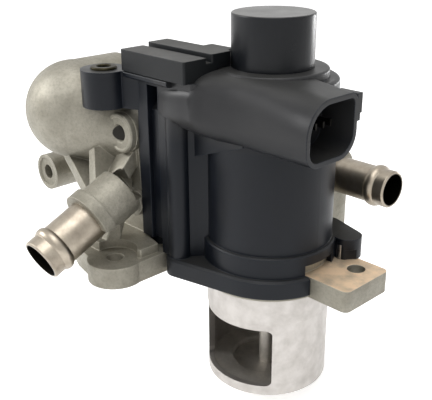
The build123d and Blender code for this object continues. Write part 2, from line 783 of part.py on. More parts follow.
with BuildPart() as connector_terminals:
    with BuildSketch(end_view.offset(socket_floor - terminal_root)):
        with Locations(*terminal_spots):
            Rectangle(*terminal_section)
    extrude(amount=terminal_root + terminal_reach)
write(connector_terminals.part, "connector_terminals")

# ================================================================ harness clip on the wing
with BuildPart() as harness_clip:
    with BuildSketch(Plane.XY.offset(barrel_top)):
        with Locations((clip_mid, (clip_front + clip_back) / 2)):
            Rectangle(clip_length, clip_back - clip_front)
    extrude(amount=clip_base)
    with BuildSketch(Plane.XY.offset(barrel_top)):
        with Locations((clip_mid, (clip_front + groove_front) / 2)):
            Rectangle(clip_length, clip_front_width)
    extrude(amount=clip_height)
    with BuildSketch(Plane.XY.offset(barrel_top)):
        with Locations((clip_mid, (groove_back + clip_back) / 2)):
            Rectangle(clip_length, clip_rear_width)
    extrude(amount=clip_height + clip_rear_rise)
    fillet(harness_clip.edges().filter_by(Axis.Z), 0.8)
    with BuildSketch(Plane.XY.offset(barrel_top)):
        with Locations(((clip_tab[0] + clip_tab[1]) / 2, clip_back + clip_tab[2] / 2 - root / 2)):
            Rectangle(clip_tab[1] - clip_tab[0], clip_tab[2] + root)
    extrude(amount=clip_height + clip_rear_rise)
    with BuildSketch(Plane.XY.offset(barrel_top)):
        Circle(crown_r + gap)
    extrude(amount=crown_height + gap, mode=Mode.SUBTRACT)
    with BuildSketch(Plane.XY.offset(cover_top)):
        Circle(cap_r + gap)
    extrude(amount=clip_height, mode=Mode.SUBTRACT)
write(harness_clip.part, "harness_clip")

# ================================================================ cover, seal and sensor cap
with BuildPart() as top_cover:
    with BuildSketch(Plane.XY.offset(barrel_top)):
        Circle(cover_r)
    extrude(amount=crown_height)
    with BuildSketch(Plane.XY.offset(barrel_top)):
        Circle(rod_r + running)
    extrude(amount=crown_height, mode=Mode.SUBTRACT)
    with BuildSketch(Plane.XY.offset(barrel_top)):
        Circle(cover_seal_mid_r + cover_seal_width / 2 + slip)
        Circle(cover_seal_mid_r - cover_seal_width / 2 - slip, mode=Mode.SUBTRACT)
    extrude(amount=cover_seal_height, mode=Mode.SUBTRACT)
write(top_cover.part, "top_cover")

with BuildPart() as cover_seal:
    with BuildSketch(Plane.XY.offset(barrel_top)):
        Circle(cover_seal_mid_r + cover_seal_width / 2)
        Circle(cover_seal_mid_r - cover_seal_width / 2, mode=Mode.SUBTRACT)
    extrude(amount=cover_seal_height)
write(cover_seal.part, "cover_seal")

with BuildPart() as sensor_cap:
    with BuildSketch(Plane.XY.offset(cover_top)):
        Circle(cap_r)
    extrude(amount=cap_height)
    fillet(sensor_cap.edges().group_by(Axis.Z)[-1], 0.6)
    with BuildSketch(Plane.XY.offset(cover_top)):
        Circle(cap_r - cap_wall)
    extrude(amount=cap_height - cap_wall, mode=Mode.SUBTRACT)
write(sensor_cap.part, "sensor_cap")

with BuildPart() as sensor_board:
    with BuildSketch(Plane.XY.offset(cover_top)):
        with Locations((board_x + board_size[0] / 2, 0)):
            Rectangle(board_size[0], board_size[1])
    extrude(amount=board_size[2])
write(sensor_board.part, "sensor_board")

# ================================================================ solenoid
with BuildPart() as flux_yoke:
    with BuildSketch(Plane.XZ):
        with BuildLine():
            Polyline((yoke_r - yoke_wall, boss_height), (yoke_r, boss_height), (yoke_r, yoke_top),
                     (bobbin_bore_r, yoke_top), (bobbin_bore_r, coil_top),
                     (yoke_r - yoke_wall, coil_top), (yoke_r - yoke_wall, coil_bottom),
                     (plate_bore_r, coil_bottom), (plate_bore_r, yoke_bottom),
                     (yoke_r - yoke_wall, yoke_bottom), close=True)
        make_face()
    revolve(axis=Axis.Z)
write(flux_yoke.part, "flux_yoke")

with BuildPart() as pole_core:
    with BuildSketch(Plane.XZ):
        with BuildLine():
            Polyline((plate_bore_r, coil_bottom), (bobbin_bore_r - slip, coil_bottom),
                     (bobbin_bore_r - slip, pole_top - pole_bevel),
                     (bobbin_bore_r - slip - pole_bevel, pole_top),
                     (plate_bore_r, pole_top), close=True)
        make_face()
    revolve(axis=Axis.Z)
write(pole_core.part, "pole_core")

with BuildPart() as coil_bobbin:
    with BuildSketch(Plane.XZ):
        with BuildLine():
            Polyline((bobbin_bore_r, coil_bottom), (coil_r, coil_bottom),
                     (coil_r, coil_bottom + coil_wall),
                     (bobbin_bore_r + coil_wall, coil_bottom + coil_wall),
                     (bobbin_bore_r + coil_wall, coil_top - coil_wall),
                     (coil_r, coil_top - coil_wall), (coil_r, coil_top),
                     (bobbin_bore_r, coil_top), close=True)
        make_face()
    revolve(axis=Axis.Z)
write(coil_bobbin.part, "coil_bobbin")

with BuildPart() as coil_winding:
    with BuildSketch(Plane.XY.offset(coil_bottom + coil_wall)):
        Circle(coil_r - winding_inset)
        Circle(bobbin_bore_r + coil_wall, mode=Mode.SUBTRACT)
    extrude(amount=coil_top - coil_bottom - 2 * coil_wall)
write(coil_winding.part, "coil_winding")

# ================================================================ moving valve
with BuildPart() as valve_stem:
    with BuildSketch(Plane.XZ):
        with BuildLine():
            Polyline((0, stem_bottom), (stem_tip_r, stem_bottom), (stem_tip_r, disc_top),
                     (stem_r, disc_top), (stem_r, retainer_bottom),
                     (stem_tip_r, retainer_bottom), (stem_tip_r, armature_top),
                     (0, armature_top), close=True)
        make_face()
    revolve(axis=Axis.Z)
write(valve_stem.part, "valve_stem")

with BuildPart() as poppet_disc:
    with BuildSketch(Plane.XZ):
        with BuildLine():
            Polyline((stem_tip_r, disc_bottom), (disc_r - disc_bevel, disc_bottom),
                     (disc_r, disc_top - disc_edge), (disc_r, disc_top),
                     (stem_tip_r, disc_top), close=True)
        make_face()
    revolve(axis=Axis.Z)
write(poppet_disc.part, "poppet_disc")

with BuildPart() as spring_retainer:
    with BuildSketch(Plane.XY.offset(retainer_bottom)):
        Circle(retainer_r)
        Circle(stem_tip_r, mode=Mode.SUBTRACT)
    extrude(amount=retainer_thickness)
write(spring_retainer.part, "spring_retainer")

with BuildPart() as armature:
    with BuildSketch(Plane.XY.offset(armature_bottom)):
        Circle(armature_r)
        Circle(stem_tip_r, mode=Mode.SUBTRACT)
    extrude(amount=armature_length)
    chamfer(armature.edges().group_by(Axis.Z)[0].sort_by(SortBy.LENGTH)[-1], pole_bevel)
write(armature.part, "armature")

with BuildPart() as sensor_rod:
    with BuildSketch(Plane.XY.offset(armature_top)):
        Circle(rod_r)
    extrude(amount=slider_bottom - armature_top)
write(sensor_rod.part, "sensor_rod")

with BuildPart() as sensor_slider:
    with BuildSketch(Plane.XY.offset(slider_bottom)):
        RectangleRounded(slider_size[0], slider_size[1], 1.0)
    extrude(amount=slider_size[2])
write(sensor_slider.part, "sensor_slider")

with BuildPart() as sensor_wiper:
    with BuildSketch(Plane.XY.offset(slider_bottom + wiper_height)):
        with Locations(((slider_size[0] + wiper_length) / 2, 0)):
            with GridLocations(1, wiper_pitch, 1, 2):
                Rectangle(wiper_length, wiper_size[0])
    extrude(amount=wiper_size[1])
write(sensor_wiper.part, "sensor_wiper")

with BuildPart() as return_spring:
    with BuildLine() as coil:
        Helix(pitch=spring_height / spring_turns, height=spring_height, radius=spring_mean_r,
              center=(0, 0, spring_bottom))
    with BuildSketch(Plane(origin=coil.line @ 0, z_dir=coil.line % 0)):
        RegularPolygon(spring_wire_r, spring_wire_sides)
    sweep(path=coil.line)
write(return_spring.part, "return_spring")
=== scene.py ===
import json
import math

import bmesh
import bpy
from mathutils import Matrix, Vector


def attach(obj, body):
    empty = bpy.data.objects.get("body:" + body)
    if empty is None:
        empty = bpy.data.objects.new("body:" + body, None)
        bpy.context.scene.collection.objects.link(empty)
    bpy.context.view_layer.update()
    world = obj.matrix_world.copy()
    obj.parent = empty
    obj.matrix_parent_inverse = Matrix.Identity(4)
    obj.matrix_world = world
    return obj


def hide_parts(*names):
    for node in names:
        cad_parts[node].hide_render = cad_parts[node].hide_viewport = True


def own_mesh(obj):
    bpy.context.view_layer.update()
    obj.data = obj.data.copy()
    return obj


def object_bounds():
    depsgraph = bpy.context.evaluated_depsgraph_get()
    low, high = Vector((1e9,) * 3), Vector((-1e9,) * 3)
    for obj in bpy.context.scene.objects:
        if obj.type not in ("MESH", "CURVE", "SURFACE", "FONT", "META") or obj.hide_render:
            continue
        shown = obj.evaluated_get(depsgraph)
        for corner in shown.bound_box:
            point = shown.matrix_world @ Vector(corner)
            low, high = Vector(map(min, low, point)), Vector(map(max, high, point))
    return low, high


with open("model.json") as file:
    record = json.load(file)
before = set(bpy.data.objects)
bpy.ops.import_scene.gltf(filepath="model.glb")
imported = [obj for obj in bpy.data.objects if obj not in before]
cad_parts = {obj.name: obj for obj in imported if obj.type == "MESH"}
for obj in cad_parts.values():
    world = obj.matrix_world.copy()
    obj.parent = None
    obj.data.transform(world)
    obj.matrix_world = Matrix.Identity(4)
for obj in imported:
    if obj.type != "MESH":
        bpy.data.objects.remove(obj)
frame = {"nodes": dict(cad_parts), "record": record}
cad_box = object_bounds()
record = frame["record"]
nodes = frame["nodes"]

MM = 0.001
VALVE_LIFT = 0.006      # travel of the joint valve_lift, in metres

# ---------------------------------------------------------------- camera at the photo's angle
CAMERA_AT = Vector((183.944, -203.548, 140.848)) * MM
CAMERA_RIGHT = Vector((0.69002762, 0.72374862, -0.00705828))
CAMERA_UP = Vector((-0.26685037, 0.26345797, 0.92702793))
CAMERA_FORWARD = Vector((-0.67279474, 0.63779137, -0.37492586))
FOCAL_LENGTH = 62.5
SENSOR_WIDTH = 36.0
CLIP_START, CLIP_END = 0.01, 20.0


def add_camera():
    data = bpy.data.cameras.new("camera")
    data.lens = FOCAL_LENGTH
    data.sensor_width = SENSOR_WIDTH
    data.sensor_fit = "HORIZONTAL"
    data.clip_start = CLIP_START
    data.clip_end = CLIP_END
    camera = bpy.data.objects.new("camera", data)
    axes = Matrix((CAMERA_RIGHT, CAMERA_UP, -CAMERA_FORWARD)).transposed()
    camera.matrix_world = Matrix.Translation(CAMERA_AT) @ axes.to_4x4()
    bpy.context.scene.collection.objects.link(camera)
    bpy.context.scene.camera = camera


# ---------------------------------------------------------------- node trees
# The Mix node has sockets of the same name for each kind of value: these are those for colours.
MIX_FACTOR, MIX_FIRST, MIX_SECOND, MIX_RESULT = 0, 6, 7, 2
BEVEL_SAMPLES = 4
WORN_TURN = 0.85        # cosine of the turn between true and rounded normal on a fully worn edge


class Nodes:
    """Short calls for one node tree. A value is a node's output, or a fixed number or colour."""

    def __init__(self, tree):
        self.tree = tree

    def put(self, value, socket):
        if isinstance(value, bpy.types.NodeSocket):
            self.tree.links.new(value, socket)
        elif socket.type == "RGBA":
            socket.default_value = (*value, 1.0)
        else:
            socket.default_value = value

    def add(self, kind, inputs, **settings):
        """A new node of a kind, with its settings, and its inputs by name or number."""
        node = self.tree.nodes.new("ShaderNode" + kind)
        for name, value in settings.items():
            setattr(node, name, value)
        for socket, value in inputs.items():
            self.put(value, node.inputs[socket])
        return node

    def math(self, operation, first, second):
        return self.add("Math", {0: first, 1: second}, operation=operation).outputs["Value"]

    def remap(self, value, low, high, to_low=0.0, to_high=1.0):
        """Takes the span from low to high to another one, and holds the value at its ends."""
        node = self.add("MapRange", {"Value": value, "From Min": low, "From Max": high,
                                     "To Min": to_low, "To Max": to_high})
        return node.outputs["Result"]

    def seen_directly(self):
        """1 for what the camera, a reflection or a clear material looks at."""
        path = self.add("LightPath", {})
        total = path.outputs["Is Camera Ray"]
        for name in ("Is Glossy Ray", "Is Transmission Ray"):
            total = self.math("MAXIMUM", total, path.outputs[name])
        return total


class Surface(Nodes):
    """The node tree of one material. Its patterns are set out in metres in the part's frame."""

    def __init__(self, name):
        self.material = bpy.data.materials.new(name)
        self.material.use_nodes = True
        super().__init__(self.material.node_tree)
        self.place = self.add("TexCoord", {}).outputs["Object"]

    def noise(self, scale, detail=4.0, roughness=0.55, stretch=None):
        """Clouds, about scale of them to the metre, finer with more detail and roughness."""
        place = self.place
        if stretch:
            place = self.add("Mapping", {"Vector": place, "Scale": stretch}).outputs["Vector"]
        node = self.add("TexNoise", {"Vector": place, "Scale": scale, "Detail": detail,
                                     "Roughness": roughness})
        return node.outputs["Fac"]

    def mix(self, factor, first, second):
        node = self.add("Mix", {MIX_FACTOR: factor, MIX_FIRST: first, MIX_SECOND: second},
                        data_type="RGBA")
        return node.outputs[MIX_RESULT]

    def facing_up(self, start, full):
        """0 where the surface's normal rises less than start, 1 where it rises beyond full."""
        normal = self.add("NewGeometry", {}).outputs["Normal"]
        rise = self.add("SeparateXYZ", {"Vector": normal}).outputs["Z"]
        return self.remap(rise, start, full)

    def coordinate(self, axis):
        return self.add("SeparateXYZ", {"Vector": self.place}).outputs[axis]

    def along(self, axis, start, full):
        """0 at the first place along an axis of the part and 1 at the second."""
        return self.remap(self.coordinate(axis), start, full)

    def near_axis(self, point, axis, start, full):
        """0 beyond the first distance from an axis through a point, 1 within the second."""
        offset = self.add("VectorMath", {0: self.place, 1: point}, operation="SUBTRACT")
        across = self.add("VectorMath", {0: offset.outputs["Vector"], 1: axis},
                          operation="CROSS_PRODUCT")
        distance = self.add("VectorMath", {0: across.outputs["Vector"]}, operation="LENGTH")
        return self.remap(distance.outputs["Value"], start, full)

    def rounded(self, radius):
        """The surface's normal as if its edges were rounded by a radius."""
        return self.add("Bevel", {"Radius": radius}, samples=BEVEL_SAMPLES).outputs["Normal"]

    def edge_mask(self, radius):
        """1 along the model's edges, 0 on its flats, within about the given distance."""
        plain = self.add("NewGeometry", {}).outputs["Normal"]
        turn = self.add("VectorMath", {0: self.rounded(radius), 1: plain},
                        operation="DOT_PRODUCT")
        return self.remap(turn.outputs["Value"], 1.0, WORN_TURN)

    def shade(self, values, heights, edge_radius):
        """Fills the shader's sockets, with each (height, distance in metres) as a bump on top of
        softly rounded edges, and gives the material."""
        normal = self.rounded(edge_radius)
        for height, distance in heights:
            bump = self.add("Bump", {"Strength": 1.0, "Distance": distance, "Height": height,
                                     "Normal": normal})
            normal = bump.outputs["Normal"]
        shader = self.tree.nodes["Principled BSDF"]
        for socket, value in {**values, "Normal": normal}.items():
            self.put(value, shader.inputs[socket])
        return self.material


# ---------------------------------------------------------------- materials
# colour painted as shade inside bores: the upper bolt eyelet's hole and the coolant pipes
PAINTED_BORE_SHADE = (0.02, 0.018, 0.014)
EAR_STAIN_AND_TOP_LIGHT = (0.019, 0.026)      # along X, where the bolt ear's tan stain and its painted lighter top begin and are full
EYELET = (-50.1, -32.0, 54.0)   # on the axis of the upper bolt eyelet, in millimetres
EYELET_SHADE_SPAN = (0.0033, 0.0030)  # distances from that axis where the painted shade in its bore begins and is full
INLET_TILT = math.radians(24.5)
# a point on each coolant pipe's axis, the axis, and the distances from it where the painted shade
# in its bore begins and is full
PIPE_BORES = (
    ((-0.045, -0.0775, 0.0145), (0.0, math.cos(INLET_TILT), math.sin(INLET_TILT)), 0.0078, 0.0074),
    ((0.031, 0.038, 0.0325), (1.0, 0.0, 0.0), 0.0068, 0.0064),
)
GREYED_ABOVE = (0.056, 0.066)           # along Z, where the tunnel turns a lighter grey begins and is full
GREYED_RIGHT_OF = (-0.029, -0.026)      # the same along X
PLASTIC_SPECULAR = 0.26
CAST_METALLIC, WIRE_METALLIC = 0.6, 0.9
CAST_ROUGHNESS = (0.46, 0.62)
RUBBER_ROUGHNESS = (0.55, 0.75)
WIRE_ROUGHNESS = (0.22, 0.38)
BOARD_ROUGHNESS = 0.25
FLECK_TONE, CAST_WORN_TONE, PLASTIC_WORN_TONE, WEAVE_TONE = 0.45, 1.25, 2.6, 0.7
LINE_STRETCH = 0.004    # how much a turned surface's lines vary as they run round its axis
WAVE_PITCH = 0.314      # distance between the wave texture's bands at a scale of 1
TRACK_PITCH = 0.002     # half the distance between the printed board's tracks
TRACK_EDGE = (0.0012, 0.0013)   # where a track begins and is full, from halfway to the next


def toned(colour, factor):
    return tuple(c * factor for c in colour)


def cast_metal(name, pale, dull, tan_stain_and_top_light, grain_depth=0.00016):
    """Matt die casting: coarse skin, fine grain, stains, a tan stain with a painted lighter top on
    the bolt ear, and painted shade in the upper eyelet's bore.
    """
    m = Surface(name)
    stain = m.noise(55.0, 5.0, 0.6)
    fleck = m.noise(900.0, 3.0, 0.6)
    colour = m.mix(m.remap(stain, 0.35, 0.65), pale, dull)
    colour = m.mix(m.remap(fleck, 0.45, 0.8, 0.0, 0.35), colour, toned(dull, FLECK_TONE))
    colour = m.mix(m.edge_mask(0.0007), colour, toned(pale, CAST_WORN_TONE))
    # the bolt ear's upward faces: a tan stain, painted pale as well for the light that falls from
    # above
    patchy = m.remap(m.noise(160.0, 4.0), 0.3, 0.6, 0.55, 1.0)
    ear = m.math("MULTIPLY", m.along("X", *EAR_STAIN_AND_TOP_LIGHT), patchy)
    colour = m.mix(m.math("MULTIPLY", ear, m.facing_up(0.4, 0.9)), colour, tan_stain_and_top_light)
    eyelet = tuple(c * MM for c in EYELET)
    # painted shade: the upper eyelet's bolt hole darkened near its axis
    colour = m.mix(m.near_axis(eyelet, (0, 1, 0), *EYELET_SHADE_SPAN), colour, PAINTED_BORE_SHADE)
    roughness = m.remap(stain, 0.3, 0.7, *CAST_ROUGHNESS)
    skin = (m.noise(140.0, 3.0), grain_depth * 2.2)
    grain = (m.noise(1500.0, 4.0, 0.65), grain_depth)
    return m.shade({"Base Color": colour, "Roughness": roughness, "Metallic": CAST_METALLIC},
                   [skin, grain], 0.0008)


def moulded_plastic(name, dark, dusty, dust_and_top_light, roughness=0.42, grain_depth=0.00003, greyed=None):
    """Black moulding: fine grain, dusty film, dust on top that is also painted lighter for the
    light from above, and slightly worn edges.
    """
    m = Surface(name)
    film = m.noise(38.0, 4.0, 0.6)
    colour = m.mix(m.remap(film, 0.35, 0.7), dark, dusty)
    if greyed:
        tunnel = m.math("MULTIPLY", m.along("Z", *GREYED_ABOVE), m.along("X", *GREYED_RIGHT_OF))
        patchy = m.remap(film, 0.3, 0.6, 0.7, 1.0)
        colour = m.mix(m.math("MULTIPLY", tunnel, patchy), colour, greyed)
    patchy = m.remap(m.noise(90.0, 5.0), 0.25, 0.6, 0.6, 1.0)
    # upward faces lighter: settled dust, and painted light from above
    on_top = m.math("MULTIPLY", m.facing_up(0.55, 0.95), patchy)
    colour = m.mix(on_top, colour, dust_and_top_light)
    colour = m.mix(m.edge_mask(0.0005), colour, toned(dusty, PLASTIC_WORN_TONE))
    roughness = m.remap(film, 0.3, 0.7, roughness - 0.07, roughness + 0.1)
    skin = (m.noise(95.0, 2.0), grain_depth * 2.0)
    grain = (m.noise(1800.0, 3.0, 0.6), grain_depth)
    return m.shade({"Base Color": colour, "Roughness": roughness,
                    "Specular IOR Level": PLASTIC_SPECULAR}, [skin, grain], 0.0005)


def turned_metal(name, pale, dull, roughness, line_pitch, line_depth, along=(0, 0, 1), bores=()):
    """Metal turned on a lathe: fine lines round the axis, mottling, and painted shade in its
    bores.
    An along of (1, 1, 1) gives an even grain in place of lines."""
    m = Surface(name)
    mottle = m.noise(180.0, 4.0, 0.6)
    lines = m.noise(1.0 / line_pitch, 2.0, 0.5, tuple(LINE_STRETCH + c for c in along))
    colour = m.mix(m.remap(mottle, 0.35, 0.7), pale, dull)
    # painted shade: each bore darkened near its axis
    for point, axis, start, full in bores:
        colour = m.mix(m.near_axis(point, axis, start, full), colour, PAINTED_BORE_SHADE)
    roughness = m.remap(mottle, 0.3, 0.7, roughness - 0.06, roughness + 0.08)
    grain = (m.noise(1300.0, 3.0), line_depth * 0.8)
    return m.shade({"Base Color": colour, "Roughness": roughness, "Metallic": 1.0},
                   [(lines, line_depth), grain], 0.0003)


def rubber(name, dark, dusty):
    """Moulded seal with a dusty film."""
    m = Surface(name)
    film = m.noise(220.0, 4.0, 0.6)
    return m.shade({"Base Color": m.mix(film, dark, dusty),
                    "Roughness": m.remap(film, 0.3, 0.7, *RUBBER_ROUGHNESS)},
                   [(m.noise(2200.0, 2.0), 0.00002)], 0.0002)


def board_laminate(name, green, track):
    """Printed board: glass weave under lacquer, with resistive tracks up its length."""
    m = Surface(name)
    weave = m.noise(1400.0, 2.0, 0.5)
    across = m.math("PINGPONG", m.coordinate("Y"), TRACK_PITCH)
    colour = m.mix(m.remap(weave, 0.4, 0.6), green, toned(green, WEAVE_TONE))
    colour = m.mix(m.remap(across, *TRACK_EDGE), colour, track)
    return m.shade({"Base Color": colour, "Roughness": BOARD_ROUGHNESS},
                   [(weave, 0.00001)], 0.0002)


def wound_wire(name, bright, dark, pitch):
    """Enamelled wire: one rounded ridge for each turn up the coil."""
    m = Surface(name)
    wave = m.add("TexWave", {"Vector": m.place, "Scale": WAVE_PITCH / pitch},
                 bands_direction="Z").outputs["Fac"]
    return m.shade({"Base Color": m.mix(wave, dark, bright),
                    "Roughness": m.remap(m.noise(400.0), 0.3, 0.7, *WIRE_ROUGHNESS),
                    "Metallic": WIRE_METALLIC}, [(wave, pitch * 0.4)], 0.0002)


# How the surface of each of the record's material slots is made, and with what.
FINISHES = {
    "cast_aluminium": (cast_metal, dict(
        pale=(0.35, 0.33, 0.275), dull=(0.24, 0.225, 0.18), tan_stain_and_top_light=(0.92, 0.70, 0.48))),
    "machined_aluminium": (turned_metal, dict(
        pale=(0.54, 0.515, 0.49), dull=(0.45, 0.425, 0.40), roughness=0.44,
        line_pitch=0.0004, line_depth=0.00002)),
    "stainless_steel": (turned_metal, dict(
        pale=(0.60, 0.57, 0.52), dull=(0.44, 0.415, 0.38), roughness=0.50,
        line_pitch=0.0004, line_depth=0.00001)),
    "bronze": (turned_metal, dict(
        pale=(0.46, 0.33, 0.17), dull=(0.32, 0.21, 0.10), roughness=0.42,
        line_pitch=0.0005, line_depth=0.00002)),
    "plated_pipe": (turned_metal, dict(
        pale=(0.42, 0.37, 0.30), dull=(0.29, 0.25, 0.20), roughness=0.36,
        line_pitch=0.0008, line_depth=0.00001, along=(1, 1, 1), bores=PIPE_BORES)),
    "black_plastic": (moulded_plastic, dict(
        dark=(0.0025, 0.0038, 0.0070), dusty=(0.0055, 0.0075, 0.0115),
        dust_and_top_light=(0.030, 0.030, 0.029), roughness=0.40, greyed=(0.029, 0.029, 0.030))),
    "clip_plastic": (moulded_plastic, dict(
        dark=(0.0035, 0.0045, 0.0055), dusty=(0.007, 0.008, 0.009),
        dust_and_top_light=(0.036, 0.035, 0.031), roughness=0.46)),
    "cover_plastic": (moulded_plastic, dict(
        dark=(0.006, 0.007, 0.009), dusty=(0.012, 0.013, 0.015),
        dust_and_top_light=(0.040, 0.039, 0.036), roughness=0.45)),
    "cap_plastic": (moulded_plastic, dict(
        dark=(0.004, 0.005, 0.007), dusty=(0.008, 0.009, 0.011),
        dust_and_top_light=(0.112, 0.110, 0.105), roughness=0.30)),
    "bush_brass": (turned_metal, dict(
        pale=(0.045, 0.040, 0.024), dull=(0.028, 0.024, 0.016), roughness=0.46,
        line_pitch=0.0005, line_depth=0.00002)),
    "screw_steel": (turned_metal, dict(
        pale=(0.45, 0.45, 0.45), dull=(0.32, 0.32, 0.32), roughness=0.3,
        line_pitch=0.0004, line_depth=0.00001)),
    # painted shade: the tin terminals are nearly black for the shade deep in the connector socket
    "terminal_tin": (turned_metal, dict(
        pale=(0.035, 0.033, 0.030), dull=(0.02, 0.019, 0.017), roughness=0.45,
        line_pitch=0.0006, line_depth=0.00001)),
    "seal_rubber": (rubber, dict(dark=(0.010, 0.010, 0.010), dusty=(0.030, 0.030, 0.030))),
    "board": (board_laminate, dict(green=(0.02, 0.16, 0.07), track=(0.02, 0.02, 0.02))),
    "yoke_steel": (turned_metal, dict(
        pale=(0.40, 0.40, 0.41), dull=(0.28, 0.28, 0.29), roughness=0.33,
        line_pitch=0.0006, line_depth=0.00001)),
    "bobbin_plastic": (moulded_plastic, dict(
        dark=(0.05, 0.05, 0.055), dusty=(0.09, 0.09, 0.095), dust_and_top_light=(0.09, 0.09, 0.095))),
    "copper_wire": (wound_wire, dict(
        bright=(0.60, 0.26, 0.10), dark=(0.22, 0.08, 0.03), pitch=0.0009)),
    "spring_steel": (turned_metal, dict(
        pale=(0.42, 0.42, 0.43), dull=(0.28, 0.28, 0.29), roughness=0.28,
        line_pitch=0.0006, line_depth=0.00001)),
    "slider_plastic": (moulded_plastic, dict(
        dark=(0.50, 0.48, 0.43), dusty=(0.62, 0.60, 0.54), dust_and_top_light=(0.62, 0.60, 0.54),
        roughness=0.4, grain_depth=0.00001)),
}
MATERIALS = {slot: make(slot, **values) for slot, (make, values) in FINISHES.items()}


def dress_cad_nodes():
    for part in record["subparts"]:
        mesh = nodes[part["node"]].data
        mesh.materials.clear()
        mesh.materials.append(MATERIALS[part["material_slot"]])
        for face in mesh.polygons:
            face.material_index = 0


# ---------------------------------------------------------------- added pieces
# The sizes given from here to the studio are in millimetres.
CAP_FOOT_Y = -13.0      # the saddle's crest, from where it runs level under the cap
# Sections of the saddle across X: x, how far it comes forward, its height, the lower edge's Y
# and Z, the height where its face is upright, and how square its shoulder is.
SADDLE_SECTIONS = (
    (-28.1, -32.2, 79.9, -32.2, 66.5, 70.0, 0.80),
    (-22.0, -33.4, 79.9, -33.2, 65.5, 70.0, 0.82),
    (-16.0, -33.6, 79.9, -30.5, 62.5, 70.0, 0.90),
    (-9.83, -33.2, 79.9, -25.4, 59.6, 70.0, 0.95),
    (-9.75, -33.2, 83.3, -25.4, 59.6, 70.0, 0.82),
    (-4.0, -31.0, 83.36, -24.6, 59.0, 69.0, 0.80),
    (2.0, -28.8, 83.36, -23.9, 58.9, 68.0, 0.80),
    (10.0, -26.9, 83.25, -23.7, 59.0, 67.0, 0.79),
    (20.0, -25.7, 82.2, -23.8, 59.6, 67.0, 0.72),
    (30.0, -25.2, 80.9, -24.4, 61.2, 67.5, 0.60),
    (37.9, -25.06, 80.06, -24.95, 63.6, 68.0, 0.5523),
)
STEP_SPAN = 0.2         # sections nearer to each other than this are the two sides of a step
SADDLE_STEP = 1.2       # about how far apart the mesh's own sections are
SADDLE_REAR_Y = 1.45
SADDLE_REAR_R = 4.0
SADDLE_WALL = 0.9
SKIRT_HANDLE = 2.0      # how far the handles of the skirt's curve stand from its ends along Z
CIRCLE_HANDLE = 0.5523  # handle that draws a quarter circle, as a share of its radius
ARC_STEPS, SHORT_STEPS = 14, 6

WEB_OUTLINE = ((-17.8, -27.2), (-16.2, -24.9), (-14.6, -23.0), (-12.4, -21.2), (-15.4, -19.2),
               (-19.5, -22.6), (-22.6, -24.8))
WEB_Z = (8.4, 63.5)

GROOVE_X = (-34.5, -28.1)
GROOVE_SECTION = ((-24.5, 13.1), (-29.9, 13.1), (-30.4, 13.6), (-29.9, 66.0), (-27.0, 69.0),
                  (-24.5, 69.0))

# radius and Y along the turned face, from the rim to the bore
EYELET_PROFILE = ((8.2, -30.0), (8.2, -34.3), (7.6, -34.9), (6.7, -34.9), (6.5, -34.5),
                  (3.9, -34.5), (3.4, -34.1), (3.3, -31.0))
EYELET_SIDES = 48

LIP_X = (-45.6, -20.0)
LIP_SECTION = ((-34.4, 79.2), (-34.5, 78.0), (-33.9, 77.3), (-31.5, 77.0), (-31.5, 79.9),
               (-33.7, 79.9))

SHARP_ANGLE = 38        # edges that turn by more degrees than this stay sharp
CURVED_SHARP_ANGLE = 50     # the same on pieces that curve in few facets


def new_piece(name, mesh, slot, sharp_angle=SHARP_ANGLE):
    """Links a mesh as a piece of its own that rides with the valve's body."""
    mesh.update()
    work = bmesh.new()
    work.from_mesh(mesh)
    bmesh.ops.recalc_face_normals(work, faces=work.faces)
    work.to_mesh(mesh)
    work.free()
    mesh.shade_smooth()
    mesh.set_sharp_from_angle(angle=math.radians(sharp_angle))
    mesh.materials.clear()
    mesh.materials.append(MATERIALS[slot])
    piece = bpy.data.objects.new(name, mesh)
    bpy.context.scene.collection.objects.link(piece)
    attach(piece, "valve_body")
    return piece


def loft(name, rings):
    """A closed mesh through rings of as many points each."""
    points = [Vector(p) * MM for ring in rings for p in ring]
    size = len(rings[0])
    faces = [tuple(range(size)), tuple(range((len(rings) - 1) * size, len(rings) * size))]
    for k in range(len(rings) - 1):
        for i in range(size):
            j = (i + 1) % size
            faces.append((k * size + i, k * size + j, (k + 1) * size + j, (k + 1) * size + i))
    mesh = bpy.data.meshes.new(name)
    mesh.from_pydata(points, [], faces)
    return mesh


def add_working_spring():
    """The return spring as a piece of its own that rides with the valve's body, in place of the
    part's own spring.
    """
    mesh = nodes["return_spring"].data.copy()
    spring = new_piece("working_spring", mesh, "spring_steel", CURVED_SHARP_ANGLE)
    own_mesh(spring)
    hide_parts("return_spring")


def section_slopes(k):
    """How fast each value of a section of the saddle changes along X, level beside a step."""
    here = SADDLE_SECTIONS[k]
    before = SADDLE_SECTIONS[max(k - 1, 0)]
    after = SADDLE_SECTIONS[min(k + 1, len(SADDLE_SECTIONS) - 1)]
    if any(0 < span < STEP_SPAN for span in (here[0] - before[0], after[0] - here[0])):
        return [0.0] * len(here)
    return [(b - a) / (after[0] - before[0]) for a, b in zip(before, after)]


def section_at(x):
    """The saddle's values at x, on smooth curves through those of the sections given."""
    k = max(i for i, section in enumerate(SADDLE_SECTIONS[:-1]) if section[0] <= x)
    here, after = SADDLE_SECTIONS[k], SADDLE_SECTIONS[k + 1]
    span = after[0] - here[0]
    t = (x - here[0]) / span
    weights = (2 * t**3 - 3 * t**2 + 1, (t**3 - 2 * t**2 + t) * span,
               3 * t**2 - 2 * t**3, (t**3 - t**2) * span)
    terms = zip(here, section_slopes(k), after, section_slopes(k + 1))
    return [sum(w * term for w, term in zip(weights, four)) for four in terms][1:]


